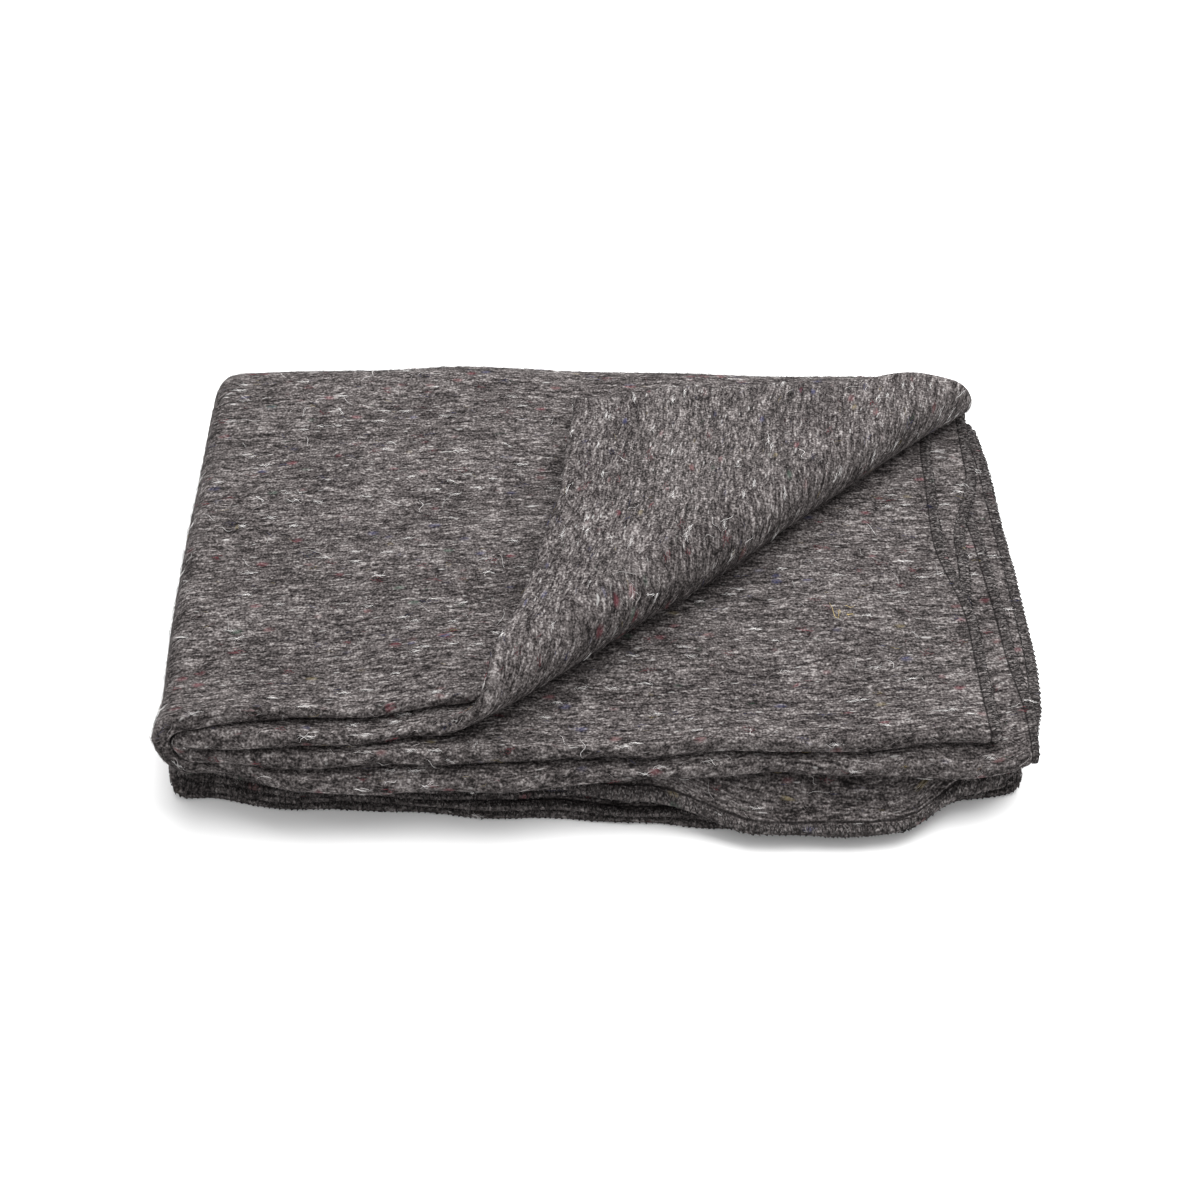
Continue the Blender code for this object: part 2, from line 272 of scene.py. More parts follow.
def piled(flat):
    """Where points of the flat cloth lie in the pile, with every layer of the same height."""
    u, v, level = flat[:, 0], flat[:, 1], flat[:, 2] / PITCH
    y, level = fold(v, level, HALF_DEPTH, FRONT_AXIS, FRONT_REACH)
    x, level = fold(u, level, HALF_LENGTH, RIGHT_AXIS, RIGHT_REACH)
    x = HALF_LENGTH - x
    x, level = fold(x, level, PILE_WIDTH, LEFT_AXIS, LEFT_REACH)
    x = x + end_offset(y, level) * ease((x - PILE_WIDTH + RIGHT_FADE) / RIGHT_FADE)
    # the last fold goes down, round an axis half a layer below the pile, whose levels are then counted anew
    past = y - PILE_DEPTH
    turn = math.pi * np.clip(past / BACK_REACH, 0.0, 1.0)
    radius = level + 0.5
    turned_y = PILE_DEPTH + radius * PITCH * np.sin(turn) - np.maximum(past - BACK_REACH, 0.0)
    y = np.where(past > 0, turned_y, y)
    level = np.where(past > 0, radius * np.cos(turn) - 0.5, level) + LAYERS / 2
    fade = np.where(level > TURNED_LEVEL, np.clip(1 - y / PILE_DEPTH, 0.0, 1.0), ease(1 - y / FRONT_FADE))
    back = np.interp(x, BACK_STATIONS, BACK) * ease(1 + (y - PILE_DEPTH) / BACK_FADE)
    return np.stack([x, y + front_offset(x, level) * fade + back, level * PITCH], axis=1)


def turned(pile):
    """Points of the pile, once the corner of the top four layers is turned back over the rest."""
    x, y, level = pile[:, 0], pile[:, 1], pile[:, 2] / PITCH
    past = (x - TURN_START) * ACROSS[0] + y * ACROSS[1]
    run = (x - TURN_START) * ACROSS[1] * -1 + y * ACROSS[0]
    closed = ease((run - NOSE_START) / NOSE_RUN)
    hollow = TURN_HOLLOW * (1 - NOSE_CLOSED * closed)
    fullness = TURN_FULLNESS - NOSE_DRAWN * closed
    axis = LAYERS - 0.5 + hollow
    stays = (level < TURNED_LEVEL) | (past <= 0)
    turn = math.pi * np.clip(past / TURN_REACH, 0.0, 1.0)
    beyond = np.maximum(past - TURN_REACH, 0.0)
    radius = axis - level
    moved = np.where(stays, 0.0, radius * PITCH * fullness * np.sin(turn) - beyond - past)
    settled = 2 * hollow * TURN_SETTLED * beyond / TURN_SETTLES
    level = np.where(stays, level, axis - radius * np.cos(turn) - settled)
    x = x + moved * ACROSS[0]
    y = y + moved * ACROSS[1]
    return drawn_in(x, y, height(x, y, level)) - np.array([*PILE_CENTRE, 0.0])


def drawn_in(x, y, z):
    """Points of the finished pile, once its front corners are rounded off and its outer wrap is full."""
    left = LEFT_IN * ease((LEFT_IN_TOP - z) / LEFT_IN_RISE) - HEM_OUT * ease((HEM_TOP - z) / HEM_RISE)
    left = left * ease((LEFT_IN_RUN - x) / LEFT_IN_RUN) * ease((LEFT_IN_FROM - y) / LEFT_IN_FADE)
    wrap = WRAP_FULL * ease((x - WRAP_FROM) / WRAP_RISE) * (1 - ease((x - WRAP_FROM - WRAP_RISE) / WRAP_RUN))
    wrap = wrap * ease((WRAP_NEAR - y) / WRAP_FADE) * ease((z - WRAP_LOW) / (WRAP_HIGH - WRAP_LOW))
    back = HEM_BACK * ease((HEM_RUN - x) / HEM_RUN) * ease((HEM_BACK_TOP - z) / HEM_BACK_RISE)
    back = back * ease((HEM_BACK_FROM - y) / HEM_BACK_FADE)
    corner = RIGHT_ROUND * ease((x - RIGHT_FROM) / RIGHT_RUN) * ease((RIGHT_NEAR - y) / RIGHT_NEAR_FADE)
    return uneven(x + left + wrap - corner, y + back + corner, z)


def waves(kinds, along, other):
    """The sum of some waves at each point."""
    turns = [along / kind.along + other / kind.other for kind in kinds]
    return sum(kind.weight * np.sin(2 * math.pi * turn) for kind, turn in zip(kinds, turns))


def uneven(x, y, z):
    """The same points with the soft waves of cloth laid by hand: a sway that dies away towards the back, and
    a rise that dies away towards the floor."""
    near = ease((WAVE_FROM - y) / WAVE_FADE)
    free = ease(z / WAVE_FOOT)
    sway, rise = waves(SWAYS, x, z), waves(RISES, x, y)
    return np.stack([x, y + WAVE_OUT * near * sway, z + WAVE_UP * free * rise], axis=1)


def folded(flat):
    """Where points of the flat cloth lie once it is folded."""
    return turned(piled(np.asarray(flat, dtype=float)))


def reshape(bm, shape):
    """Moves every point to where shape, which takes and gives rows of places, puts it."""
    places = shape(np.array([vert.co for vert in bm.verts]))
    for vert, place in zip(bm.verts, places):
        vert.co = place


def spans(*parts):
    """Lines through a row of spans, each given as its end and its number of strips, from 0."""
    lines, start = [0.0], 0.0
    for end, strips in parts:
        lines += [start + (end - start) * i / strips for i in range(1, strips + 1)]
        start = end
    return np.array(lines)


def mirrored(half, whole):
    """The lines of one half, and the same from the other end."""
    return np.concatenate([half, (whole - half)[::-1]])


def from_cut_edge(u, v):
    """How far a point of the flat cloth is from the nearest cut edge."""
    return min(u, LENGTH - u, v, DEPTH - v)


def flat_cloth():
    """The cloth before it is folded, as a thin slab with lines close together where a fold bends it."""
    edge_lines = [(place, 1) for place in PINCH_AT[1:]]
    across = mirrored(spans(
        *edge_lines, (PILE_WIDTH, STRIPS["cut end"]), (PILE_WIDTH + LEFT_REACH, STRIPS["left bend"]),
        (HALF_LENGTH, STRIPS["top"]), (LENGTH / 2, STRIPS["right bend"] // 2),
    )[:-1], LENGTH)
    across = np.sort(np.append(across, LENGTH / 2))
    under = HALF_DEPTH - PILE_DEPTH - BACK_REACH
    along = mirrored(spans(
        *edge_lines, (NEAR_EDGE, STRIPS["near cut edge"]), (under, STRIPS["underneath"]),
        (HALF_DEPTH - PILE_DEPTH, STRIPS["back bend"]),
        (HALF_DEPTH, STRIPS["depth"]), (DEPTH / 2, STRIPS["front bend"] // 2),
    )[:-1], DEPTH)
    along = np.sort(np.append(along, DEPTH / 2))
    bm = bmesh.new()
    strips = (len(across) - 1, len(along) - 1)
    bmesh.ops.create_grid(bm, x_segments=strips[0], y_segments=strips[1], size=0.5)
    cloth_map = bm.loops.layers.uv.new("cloth")
    for vert in bm.verts:
        i, j = (round((vert.co[axis] + 0.5) * strips[axis]) for axis in range(2))
        vert.co = (across[i], along[j], -THICKNESS / 2)
    upper = bmesh.ops.extrude_face_region(bm, geom=bm.faces[:])["geom"]
    raised = [element for element in upper if isinstance(element, bmesh.types.BMVert)]
    bmesh.ops.translate(bm, verts=raised, vec=(0, 0, THICKNESS))
    bmesh.ops.recalc_face_normals(bm, faces=bm.faces)
    for face in bm.faces:
        for loop in face.loops:
            loop[cloth_map].uv = loop.vert.co.xy
    for vert in bm.verts:
        vert.co.z *= np.interp(from_cut_edge(vert.co.x, vert.co.y), PINCH_AT, PINCH)
    return bm


def cut_turn(bm):
    """Cuts the layers that turn by lines along their bend."""
    for i in range(TURN_CUTS + 1):
        line = TURN_START + TURN_REACH * i / TURN_CUTS / ACROSS[0]
        faces = [face for face in bm.faces if face.calc_center_median().z > TURNED_LEVEL * PITCH]
        geometry = dict.fromkeys(part for face in faces for part in (*face.verts, *face.edges, face))
        bmesh.ops.bisect_plane(
            bm, geom=list(geometry), dist=LEAST_CUT, plane_co=(line, 0.0, 0.0), plane_no=(*ACROSS, 0.0)
        )


def placed(name, bm, material):
    """A piece made from a finished bmesh."""
    mesh = bpy.data.meshes.new(name)
    bm.to_mesh(mesh)
    bm.free()
    mesh.shade_smooth()
    mesh.materials.append(material)
    piece = bpy.data.objects.new(name, mesh)
    bpy.context.scene.collection.objects.link(piece)
    return piece


def in_order(bm):
    """Puts the faces in the order of their points. They come in another order in each run, and the scatter of
    loose fibre goes by it."""
    bm.verts.index_update()
    ordered = sorted(bm.faces, key=lambda face: sorted(vert.index for vert in face.verts))
    ranks = {face: rank for rank, face in enumerate(ordered)}
    bm.faces.sort(key=ranks.get)


def made_real(name, rough):
    """A piece with the finished shape of a rough object, which it takes the place of."""
    mesh = bpy.data.meshes.new_from_object(rough.evaluated_get(bpy.context.evaluated_depsgraph_get()))
    bpy.data.objects.remove(rough)
    mesh.name = name
    piece = bpy.data.objects.new(name, mesh)
    bpy.context.scene.collection.objects.link(piece)
    return piece


def cloth_piece(material):
    """The folded cloth. The bend of the turned corner gets lines of its own before it is turned."""
    bm = flat_cloth()
    reshape(bm, piled)
    cut_turn(bm)
    bmesh.ops.triangulate(bm, faces=[face for face in bm.faces if len(face.verts) > 4])
    reshape(bm, turned)
    in_order(bm)
    return placed("felted_cloth", bm, material)


# The overlock edging: three threads, laid along the four cut edges
STITCH = 0.0032
THREAD = 0.00040  # its half width
WANDER = 0.00040  # how far a stitch is from its place
Edge = namedtuple("Edge", "start run length inwards")
EDGES = (
    Edge((0.0, 0.0), (1, 0), LENGTH, (0, 1)),
    Edge((LENGTH, 0.0), (0, 1), DEPTH, (-1, 0)),
    Edge((LENGTH, DEPTH), (-1, 0), LENGTH, (0, -1)),
    Edge((0.0, DEPTH), (0, -1), DEPTH, (1, 0)),
)
# One stitch of a looper thread: how far along, how far in from the cut edge, and how high above mid-cloth
Turn = namedtuple("Turn", "along inwards rise")
LOOPER = (
    Turn(0.00, 0.0055, 0.0011), Turn(0.20, 0.0032, 0.0019), Turn(0.32, 0.0008, 0.0017),
    Turn(0.42, -0.0007, 0.0003), Turn(0.60, 0.0008, 0.0017), Turn(0.82, 0.0032, 0.0019),
)
NEEDLE = (Turn(0.06, 0.0056, 0.0008), Turn(0.26, 0.0056, 0.0014), Turn(0.80, 0.0056, 0.0014),
          Turn(0.98, 0.0056, 0.0008))


def thread_piece(name, turns, side, material):
    """One thread of the edging, along all four edges, on one side of the cloth."""
    curve = bpy.data.curves.new(name, "CURVE")
    curve.dimensions = "3D"
    curve.bevel_depth = THREAD
    curve.bevel_resolution = 0
    curve.use_fill_caps = True
    draw = np.random.default_rng(len(name))
    for edge in EDGES:
        stitches = round(edge.length / STITCH)
        points = []
        for stitch in range(stitches):
            for turn in turns:
                along = (stitch + turn.along) * edge.length / stitches + draw.normal(0.0, WANDER)
                inwards = turn.inwards + draw.normal(0.0, WANDER) / 2
                spot = [edge.start[i] + edge.run[i] * along + edge.inwards[i] * inwards for i in (0, 1)]
                points.append((*spot, side * turn.rise))
        places = folded(points)
        spline = curve.splines.new("POLY")
        spline.points.add(len(places) - 1)
        spline.points.foreach_set("co", np.column_stack([places, np.ones(len(places))]).ravel())
    rough = bpy.data.objects.new(name, curve)
    bpy.context.scene.collection.objects.link(rough)
    piece = made_real(name, rough)
    piece.data.materials.clear()
    piece.data.materials.append(material)
    return piece


# Loose fibres. Each kind is a wavy, tapered sliver, cut across so many times; sway, loop and lift are shares
# of its length.
Fibre = namedtuple("Fibre", "name length width waves sway loop lift cuts")
FIBRES = (
    Fibre("short_fibre", 0.0030, 0.00017, 0.45, 0.12, 0.0, 0.06, 1),
    Fibre("bent_fibre", 0.0044, 0.00016, 0.75, 0.10, 0.0, 0.07, 2),
    Fibre("straight_fibre", 0.0040, 0.00017, 0.30, 0.05, 0.0, 0.05, 1),
    Fibre("wavy_fibre", 0.0064, 0.00014, 1.10, 0.07, 0.0, 0.08, 3),
)
HAIRS = (
    Fibre("curled_hair", 0.0110, 0.00026, 1.30, 0.12, 0.0, 0.06, 9),
    Fibre("looped_hair", 0.0070, 0.00026, 1.00, 0.22, 0.30, 0.08, 11),
    Fibre("long_hair", 0.0150, 0.00022, 0.80, 0.10, 0.0, 0.05, 8),
)
FIBRE_TIP = 0.25  # how wide a fibre is at its tips, against its middle
HAIR_COUNT = 170
HAIR_COLOUR = (0.80, 0.78, 0.77)
HAIR_SIZES = (0.5, 1.1)  # sizes and tones are drawn between these, here and below
HAIR_TONES = (0.5, 1.2)
STRAW = (0.778, 0.365)  # where a bit of straw has caught on the pile, as shares of its length and depth
STRAW_SPOTS = 6000  # how many spots its place is picked from
STRAW_FIBRES = 4
STRAW_SIZE = 1.0
STRAW_COLOUR = (0.68, 0.52, 0.20)
# How loose fibres lie: each sort's share, how far they turn from the cloth's grain, how steeply they stand
# and how large they are
Sort = namedtuple("Sort", "share turn rise size")
NAP = Sort(0.84, 0.36, 0.05, 1.0)
STRAY = Sort(0.16, 1.0, 0.35, 0.85)
# The colours of the carded fibre, each with its share
SHADES = (
    (0.24, (0.064, 0.057, 0.056)), (0.18, (0.115, 0.103, 0.101)), (0.29, (0.012, 0.010, 0.010)),
    (0.17, (0.180, 0.165, 0.162)), (0.022, (0.430, 0.402, 0.396)), (0.007, (0.100, 0.020, 0.028)),
    (0.007, (0.030, 0.036, 0.105)), (0.003, (0.036, 0.070, 0.046)), (0.004, (0.200, 0.158, 0.064)),
)
# Tufts of one colour, as dyed specks and white flecks: how many, fibres in each, spread along and across
# the grain, size of the fibres and colour
Tuft = namedtuple("Tuft", "count fibres along across size colour")
TUFTS = (
    Tuft(250, 10, 0.0018, 0.00036, 1.05, (0.82, 0.80, 0.79)),
    Tuft(125, 10, 0.0019, 0.00110, 0.80, (0.185, 0.030, 0.042)),
    Tuft(82, 8, 0.0021, 0.00095, 0.72, (0.028, 0.034, 0.122)),
    Tuft(22, 6, 0.0015, 0.00080, 0.60, (0.040, 0.11, 0.065)),
    Tuft(24, 6, 0.0015, 0.00080, 0.60, (0.30, 0.23, 0.08)),
)
TUFT_SIZES = (0.5, 1.2)
TUFT_TONES = (0.7, 1.25)
TUFT_RISE = 0.0003  # how far above the cloth a tuft lies
NAP_SEED = 4  # the seeds of the random scatter
STRAW_SEEDS = (7, 8)  # for its places and for its turns
NAP_PIECES = 3
NAP_COUNT = 8600
NAP_SIZES = (0.6, 1.35)
NAP_TONES = (0.75, 1.3)
NAP_RISE = 0.0002
EDGING_CLEAR = 0.0065  # loose fibre is sparse this near a cut edge
EDGING_NAP = 0.12
OPEN_AIR = 0.015  # a surface with this much room in front of it grows loose fibres
OFF_SURFACE = 0.0004  # how far off the surface that room is measured from
UNDERNEATH = -0.6  # a surface whose normal points down more than this stays bare
LEAST_AREA = 1e-10  # a smaller triangle grows nothing
LEAST_MAP_AREA = 1e-9  # and one smaller than this on the cloth's map, as at a cut edge, has no grain there


def fibre_kind(fibre, material):
    """One fibre, lying along X: a thin bar with pointed ends, bent into its waves."""
    bm = bmesh.new()
    bmesh.ops.create_cone(
        bm, cap_ends=True, segments=3, radius1=fibre.width, radius2=fibre.width, depth=fibre.length,
        matrix=Matrix.Rotation(math.pi / 2, 4, "Y")
    )
    sides = [edge for edge in bm.edges if abs(edge.verts[0].co.x - edge.verts[1].co.x) > fibre.length / 2]
    bmesh.ops.subdivide_edges(bm, edges=sides, cuts=fibre.cuts)
    for vert in bm.verts:
        along = vert.co.x / fibre.length + 0.5
        taper = FIBRE_TIP + (1 - FIBRE_TIP) * math.sin(math.pi * along)
        wave = math.sin(2 * math.pi * fibre.waves * along)
        vert.co.x += fibre.loop * fibre.length * math.sin(4 * math.pi * along)
        vert.co.y = vert.co.y * taper / 2 + fibre.sway * fibre.length * wave
        vert.co.z = vert.co.z * taper / 2 + fibre.lift * fibre.length * (1 - (2 * along - 1) ** 2)
    bmesh.ops.recalc_face_normals(bm, faces=bm.faces)
    return placed(fibre.name, bm, material)


def open_surface(cloth):
    """The cloth's triangles that face open air: their corners, grain, normal and share of loose fibre."""
    mesh = cloth.data
    mesh.calc_loop_triangles()
    count = len(mesh.loop_triangles)
    corners = np.empty(count * 3, dtype=np.int32)
    loops = np.empty(count * 3, dtype=np.int32)
    mesh.loop_triangles.foreach_get("vertices", corners)
    mesh.loop_triangles.foreach_get("loops", loops)
    places = np.empty(len(mesh.vertices) * 3, dtype=np.float32)
    mesh.vertices.foreach_get("co", places)
    flat = np.empty(len(mesh.loops) * 2, dtype=np.float32)
    mesh.uv_layers["cloth"].data.foreach_get("uv", flat)
    places = places.reshape(-1, 3).astype(float)
    corners = corners.reshape(-1, 3)
    triangles = places[corners]
    flat = flat.reshape(-1, 2)[loops.reshape(-1, 3)].astype(float)
    side1, side2 = triangles[:, 1] - triangles[:, 0], triangles[:, 2] - triangles[:, 0]
    flat1, flat2 = flat[:, 1] - flat[:, 0], flat[:, 2] - flat[:, 0]
    normal = np.cross(side1, side2)
    area = np.linalg.norm(normal, axis=1) / 2
    turn = flat1[:, 0] * flat2[:, 1] - flat2[:, 0] * flat1[:, 1]
    tree = BVHTree.FromPolygons(places.tolist(), corners.tolist())
    keep = area > LEAST_AREA
    normal[keep] /= 2 * area[keep][:, None]
    grain = side1 * flat2[:, 1:] - side2 * flat1[:, 1:]
    edge_on = np.abs(turn) < LEAST_MAP_AREA
    grain[edge_on] = side1[edge_on]
    grain *= np.where(turn < 0, -1.0, 1.0)[:, None]
    middle = triangles.mean(axis=1)
    for i in np.flatnonzero(keep):
        start = Vector(middle[i] + normal[i] * OFF_SURFACE)
        open_air = tree.ray_cast(start, Vector(normal[i]), OPEN_AIR)[0] is None
        keep[i] = normal[i][2] > UNDERNEATH and open_air
    middle_flat = flat.mean(axis=1)
    edge = np.minimum(middle_flat, np.array([LENGTH, DEPTH]) - middle_flat).min(axis=1)
    grown = area * np.where(edge < EDGING_CLEAR, EDGING_NAP, 1.0)
    return triangles[keep], grain[keep], normal[keep], grown[keep]


def spots_on(surface, count, draw):
    """Random places on the open surface, with the grain and the normal there."""
    triangles, grain, normal, area = surface
    chosen = draw.choice(len(area), size=count, p=area / area.sum())
    first, second = draw.random(count), draw.random(count)
    over = first + second > 1
    first, second = np.where(over, 1 - first, first), np.where(over, 1 - second, second)
    corner = triangles[chosen]
    place = corner[:, 0] + first[:, None] * (corner[:, 1] - corner[:, 0])
    place = place + second[:, None] * (corner[:, 2] - corner[:, 0])
    return place, grain[chosen], normal[chosen]


def lain(spots, sort, draw):
    """How fibres of a sort are turned at their spots."""
    _, grain, normal = spots
    turns = []
    for along, up in zip(grain, normal):
        up = Vector(up)
        along = Vector(along) * draw.choice((-1, 1))
        along.rotate(Quaternion(up, draw.normal(0.0, sort.turn)))
        along = (along.normalized() + up * draw.normal(0.0, sort.rise)).normalized()
        across = up.cross(along).normalized()
        turns.append(Matrix((along, across, along.cross(across))).transposed().to_euler()[:])
    return np.array(turns)


def scattered(name, places, turns, sizes, shades, kinds):
    """One joined piece: a copy of one of the kinds at each place, turned, sized and shaded."""
    cloud = bpy.data.meshes.new(name)
    cloud.vertices.add(len(places))
    cloud.vertices.foreach_set("co", np.asarray(places, dtype=np.float32).ravel())
    for attribute, form, key, values in (
        ("turn", "FLOAT_VECTOR", "vector", turns), ("size", "FLOAT", "value", sizes),
        ("shade", "FLOAT_COLOR", "color", shades),
    ):
        layer = cloud.attributes.new(attribute, form, "POINT")
        layer.data.foreach_set(key, np.asarray(values, dtype=np.float32).ravel())
    carrier = bpy.data.objects.new(name, cloud)
    bpy.context.scene.collection.objects.link(carrier)
    stock = bpy.data.collections.new(name + "_kinds")
    for kind in kinds:
        stock.objects.link(kind)
    group = bpy.data.node_groups.new(name, "GeometryNodeTree")
    group.interface.new_socket("Geometry", in_out="INPUT", socket_type="NodeSocketGeometry")
    group.interface.new_socket("Geometry", in_out="OUTPUT", socket_type="NodeSocketGeometry")
    start, end = group.nodes.new("NodeGroupInput"), group.nodes.new("NodeGroupOutput")
    source = group.nodes.new("GeometryNodeCollectionInfo")
    source.inputs["Collection"].default_value = stock
    source.inputs["Separate Children"].default_value = True
    put = group.nodes.new("GeometryNodeInstanceOnPoints")
    put.inputs["Pick Instance"].default_value = True
    real = group.nodes.new("GeometryNodeRealizeInstances")
    group.links.new(start.outputs[0], put.inputs["Points"])
    group.links.new(source.outputs[0], put.inputs["Instance"])
    for attribute, form, socket in (("turn", "FLOAT_VECTOR", "Rotation"), ("size", "FLOAT", "Scale")):
        read = group.nodes.new("GeometryNodeInputNamedAttribute")
        read.data_type = form
        read.inputs["Name"].default_value = attribute
        group.links.new(read.outputs[0], put.inputs[socket])
    group.links.new(put.outputs[0], real.inputs[0])
    group.links.new(real.outputs[0], end.inputs[0])
    carrier.modifiers.new("scatter", "NODES").node_group = group
    piece = made_real(name, carrier)
    bpy.data.collections.remove(stock)
    attributes = piece.data.attributes
    for spare in ("turn", "size"):
        if spare in attributes:
            attributes.remove(attributes[spare])
    return piece


def tufts(surface, draw):
    """Small close groups of fibres of one colour: their places, turns, sizes and shades."""
    places, turns, sizes, shades = [], [], [], []
    for tuft in TUFTS:
        place, grain, normal = (np.repeat(part, tuft.fibres, axis=0)
                                for part in spots_on(surface, tuft.count, draw))
        grain = grain / np.linalg.norm(grain, axis=1)[:, None]
        across = np.cross(normal, grain)
        count = len(place)
        place = place + grain * draw.normal(0.0, tuft.along, count)[:, None]
        place = place + across * draw.normal(0.0, tuft.across, count)[:, None] + normal * TUFT_RISE
        places.append(place)
        turns.append(lain((place, grain, normal), NAP, draw))
        sizes.append(tuft.size * draw.uniform(*TUFT_SIZES, count))
        shades.append(np.array((*tuft.colour, 1.0)) * draw.uniform(*TUFT_TONES, count)[:, None])
    return [np.concatenate(parts) for parts in (places, turns, sizes, shades)]


def straw_spots(surface, draw):
    """The spots nearest to the straw's place, out of a close scatter."""
    spots = spots_on(surface, STRAW_SPOTS, draw)
    low, high = np.array(cad_box[0]), np.array(cad_box[1])
    straw = (low + (high - low) * np.array([*STRAW, 0.0]))[:2]
    nearest = np.argsort(np.linalg.norm(spots[0][:, :2] - straw, axis=1))[:STRAW_FIBRES]
    return [part[nearest] for part in spots]


def hairs(surface, draw):
    """The long loose hairs and the bit of straw: their places, turns, sizes and shades."""
    spots = spots_on(surface, HAIR_COUNT, draw)
    shades = np.array((*HAIR_COLOUR, 1.0)) * draw.uniform(*HAIR_TONES, HAIR_COUNT)[:, None]
    turns = lain(spots, STRAY, draw)
    sizes = draw.uniform(*HAIR_SIZES, HAIR_COUNT)
    straw = straw_spots(surface, np.random.default_rng(STRAW_SEEDS[0]))
    straw_turns = lain(straw, STRAY, np.random.default_rng(STRAW_SEEDS[1]))
    straw_shades = np.tile((*STRAW_COLOUR, 1.0), (STRAW_FIBRES, 1))
    return (
        np.concatenate([place + normal * TUFT_RISE for place, _, normal in (spots, straw)]),
        np.concatenate([turns, straw_turns]),
        np.concatenate([sizes, np.full(STRAW_FIBRES, STRAW_SIZE)]),
        np.concatenate([shades, straw_shades]),
    )


def short_nap(surface, draw):
    """One piece's share of the nap: the places, turns, sizes and shades of its fibres."""
    shares = np.array([share for share, _ in SHADES])
    colours = np.array([(*colour, 1.0) for _, colour in SHADES])
    places, turns, sizes = [], [], []
    for sort in (NAP, STRAY):
        count = round(NAP_COUNT * sort.share)
        spots = spots_on(surface, count, draw)
        places.append(spots[0] + spots[2] * NAP_RISE)
        turns.append(lain(spots, sort, draw))
        sizes.append(sort.size * draw.uniform(*NAP_SIZES, count))
    shades = colours[draw.choice(len(SHADES), size=NAP_COUNT, p=shares / shares.sum())]
    shades[:, :3] *= draw.uniform(*NAP_TONES, NAP_COUNT)[:, None]
    return np.concatenate(places), np.concatenate(turns), np.concatenate(sizes), shades


def loose_fibre(cloth, material):
    """The loose fibres all over the open surface of the cloth."""
    draw = np.random.default_rng(NAP_SEED)
    short_kinds = [fibre_kind(fibre, material) for fibre in FIBRES]
    surface = open_surface(cloth)
    pieces = [scattered("flecks_and_specks", *tufts(surface, draw), short_kinds)]
    long_kinds = [fibre_kind(fibre, material) for fibre in HAIRS]
    pieces.append(scattered("loose_hairs", *hairs(surface, draw), long_kinds))
    for number in range(NAP_PIECES):
        pieces.append(scattered(f"nap_{number + 1}", *short_nap(surface, draw), short_kinds))
    for kind in short_kinds + long_kinds:
        bpy.data.objects.remove(kind)
    return pieces


class Socket:
    """A value in a material's nodes. Arithmetic on numbers adds Math nodes."""

    def __init__(self, finish, socket):
        self.finish = finish
        self.socket = socket

    def maths(self, operation, first, second):
        return self.finish.node("ShaderNodeMath", {"operation": operation}, {0: first, 1: second})

    def __add__(self, other):
        return self.maths("ADD", self, other)

    __radd__ = __add__

    def __sub__(self, other):
        return self.maths("SUBTRACT", self, other)

    def __rsub__(self, other):
        return self.maths("SUBTRACT", other, self)

    def __mul__(self, other):
        return self.maths("MULTIPLY", self, other)

    __rmul__ = __mul__

    def least(self, other):
        return self.maths("MINIMUM", self, other)

    def __lt__(self, other):
        return self.maths("LESS_THAN", self, other)

    def swing(self, size):
        """How far a noise is from its middle, 0.5, at a given size."""
        return (self - 0.5) * size


class Finish:
    """A material and its nodes."""

    def __init__(self, name, **uniform):
        self.material = bpy.data.materials.new(name)
        self.material.use_nodes = True
        self.tree = self.material.node_tree
        self.shader = self.tree.nodes["Principled BSDF"]
        for socket, value in uniform.items():
            self.shader.inputs[socket.replace("_", " ")].default_value = value

    def node(self, kind, settings=None, sockets=None, output=0):
        made = self.tree.nodes.new(kind)
        for name, value in (settings or {}).items():
            if name == "stops":
                self.set_stops(made.color_ramp.elements, value)
            else:
                setattr(made, name, value)
        for name, value in (sockets or {}).items():
            self.put(made.inputs[name], value)
        return Socket(self, made.outputs[output])

    def put(self, socket, value):
        if isinstance(value, Socket):
            self.tree.links.new(value.socket, socket)
        else:
            socket.default_value = value

    def set_stops(self, elements, stops):
        while len(elements) < len(stops):
            elements.new(1.0)
        for element, (place, colour) in zip(elements, stops):
            element.position = place
            element.color = (*colour, 1.0)

    def colour(self, factor, stops, interpolation="LINEAR"):
        """The colour that a number from 0 to 1 stands for, between stops."""
        made = self.node("ShaderNodeValToRGB", {"stops": stops}, {0: factor})
        made.socket.node.color_ramp.interpolation = interpolation
        return made

    def mix(self, factor, first, second):
        """A colour between two colours."""
        return self.node("ShaderNodeMix", {"data_type": "RGBA"}, {0: factor, 6: first, 7: second}, 2)

    def smooth(self, value, low, high):
        """0 below low, 1 above high, and an eased step between."""
        settings = {"interpolation_type": "SMOOTHSTEP"}
        return self.node("ShaderNodeMapRange", settings, {0: value, 1: low, 2: high, 3: 0.0, 4: 1.0})

    def vector(self, x, y, z):
        return self.node("ShaderNodeCombineXYZ", None, {0: x, 1: y, 2: z})

    def streaks(self, kind, u, v):
        """Noise drawn out along the cloth."""
        place = self.vector(u * kind.along, v * kind.across, kind.level)
        sockets = {"Vector": place, "Scale": 1.0, "Detail": kind.detail, "Roughness": kind.roughness}
        return self.node("ShaderNodeTexNoise", None, sockets)

    def grain(self, scale, detail):
        """Noise through the body of a piece."""
        place = self.node("ShaderNodeTexCoord", None, None, "Object")
        return self.node("ShaderNodeTexNoise", None, {"Vector": place, "Scale": scale, "Detail": detail})

    def show(self, **varying):
        """Joins what changes over the surface to the shader."""
        for socket, value in varying.items():
            self.put(self.shader.inputs[socket.replace("_", " ")], value)
        return self.material


